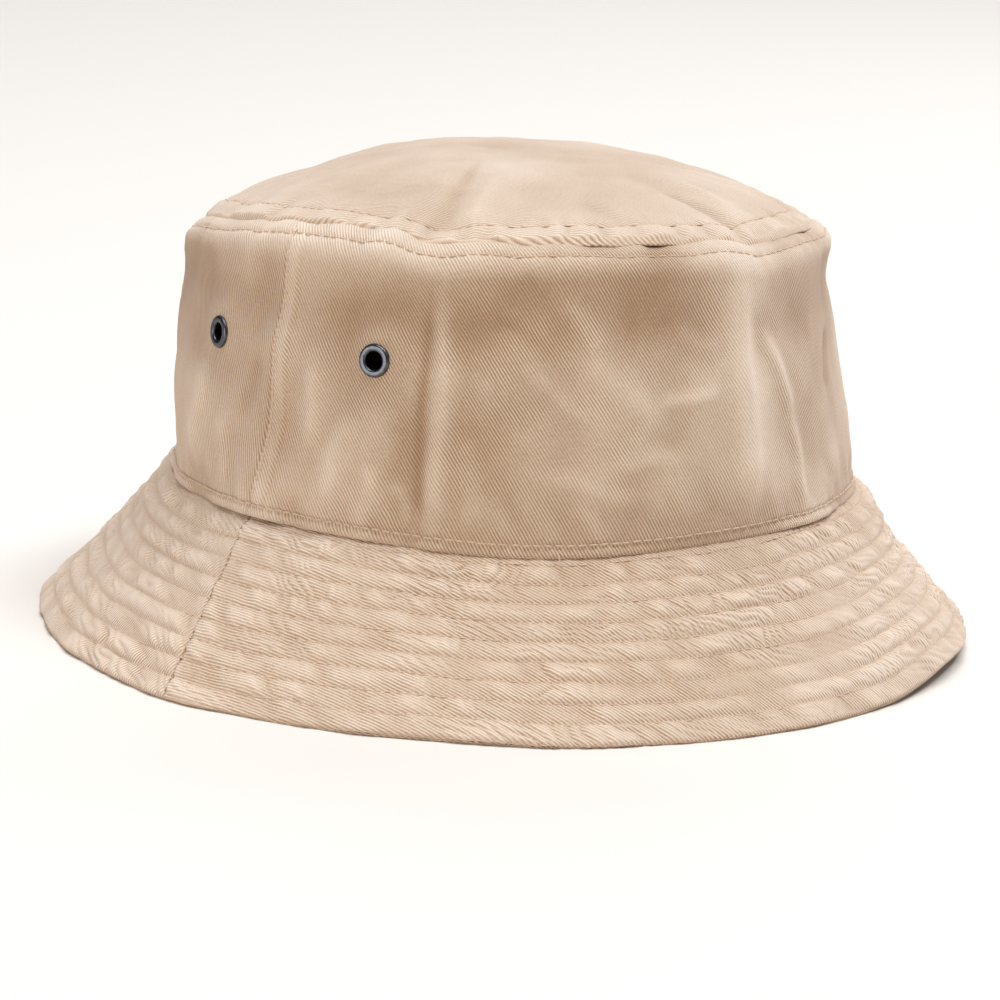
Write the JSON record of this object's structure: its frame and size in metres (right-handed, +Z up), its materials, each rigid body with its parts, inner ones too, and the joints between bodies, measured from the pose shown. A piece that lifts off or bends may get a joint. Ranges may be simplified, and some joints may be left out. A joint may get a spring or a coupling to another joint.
{
  "type": "bucket hat",
  "caption": "Soft cotton twill hat with a flat-topped crown, a downward sloping row-stitched brim and metal ventilation eyelets.",
  "frame": {"origin": "on the floor plane that the brim edge stands on, under the middle of the crown", "axes": "+Z up through the crown, -Y the front of the hat, so +Y runs along its longest measure; +X the wearer's right as seen from behind the hat"},
  "size_m": [0.2546, 0.2786, 0.1337],
  "materials": {
    "crown_twill": "washed khaki cotton twill",
    "brim_twill": "washed khaki cotton twill, row stitched",
    "under_brim_twill": "washed khaki cotton twill, row stitched",
    "sweatband_twill": "plain folded cotton twill",
    "interlining": "stiff woven interlining",
    "binding_tape": "bias-cut cotton tape",
    "thread": "matt sewing thread",
    "label": "blank woven satin label",
    "gunmetal": "dark gunmetal plating"
  },
  "bodies": {
    "hat": {"brim_interlining_back": "interlining", "brim_interlining_front": "interlining", "brim_lower_back": "under_brim_twill", "brim_lower_front": "under_brim_twill", "brim_stitch_row_1": "thread", "brim_stitch_row_2": "thread", "brim_stitch_row_3": "thread", "brim_stitch_row_4": "thread", "brim_stitch_row_5": "thread", "brim_stitch_row_6": "thread", "brim_stitch_row_7": "thread", "brim_stitch_row_8": "thread", "brim_stitch_row_9": "thread", "brim_upper_back": "brim_twill", "brim_upper_front": "brim_twill", "crown_base_topstitch": "thread", "crown_side_back": "crown_twill", "crown_side_front": "crown_twill", "crown_tip": "crown_twill", "eyelet_left_back": "gunmetal", "eyelet_left_front": "gunmetal", "eyelet_right_back": "gunmetal", "eyelet_right_front": "gunmetal", "eyelet_washer_left_back": "gunmetal", "eyelet_washer_left_front": "gunmetal", "eyelet_washer_right_back": "gunmetal", "eyelet_washer_right_front": "gunmetal", "side_seam_tape_left": "binding_tape", "side_seam_tape_right": "binding_tape", "side_seam_topstitch_left": "thread", "side_seam_topstitch_right": "thread", "side_topstitch": "thread", "size_label": "label", "sweatband": "sweatband_twill", "sweatband_hem_stitch": "thread", "tip_seam_tape": "binding_tape", "tip_topstitch": "thread"},
    "care_label": {"care_label": "label"}
  },
  "joints": [
    {"name": "care_label_swing", "type": "hinge", "parent": "hat", "child": "care_label", "pos_m": [0.0829, 0, 0.071], "axis": [0, 1, 0], "range_deg": [-4, 160]}
  ]
}
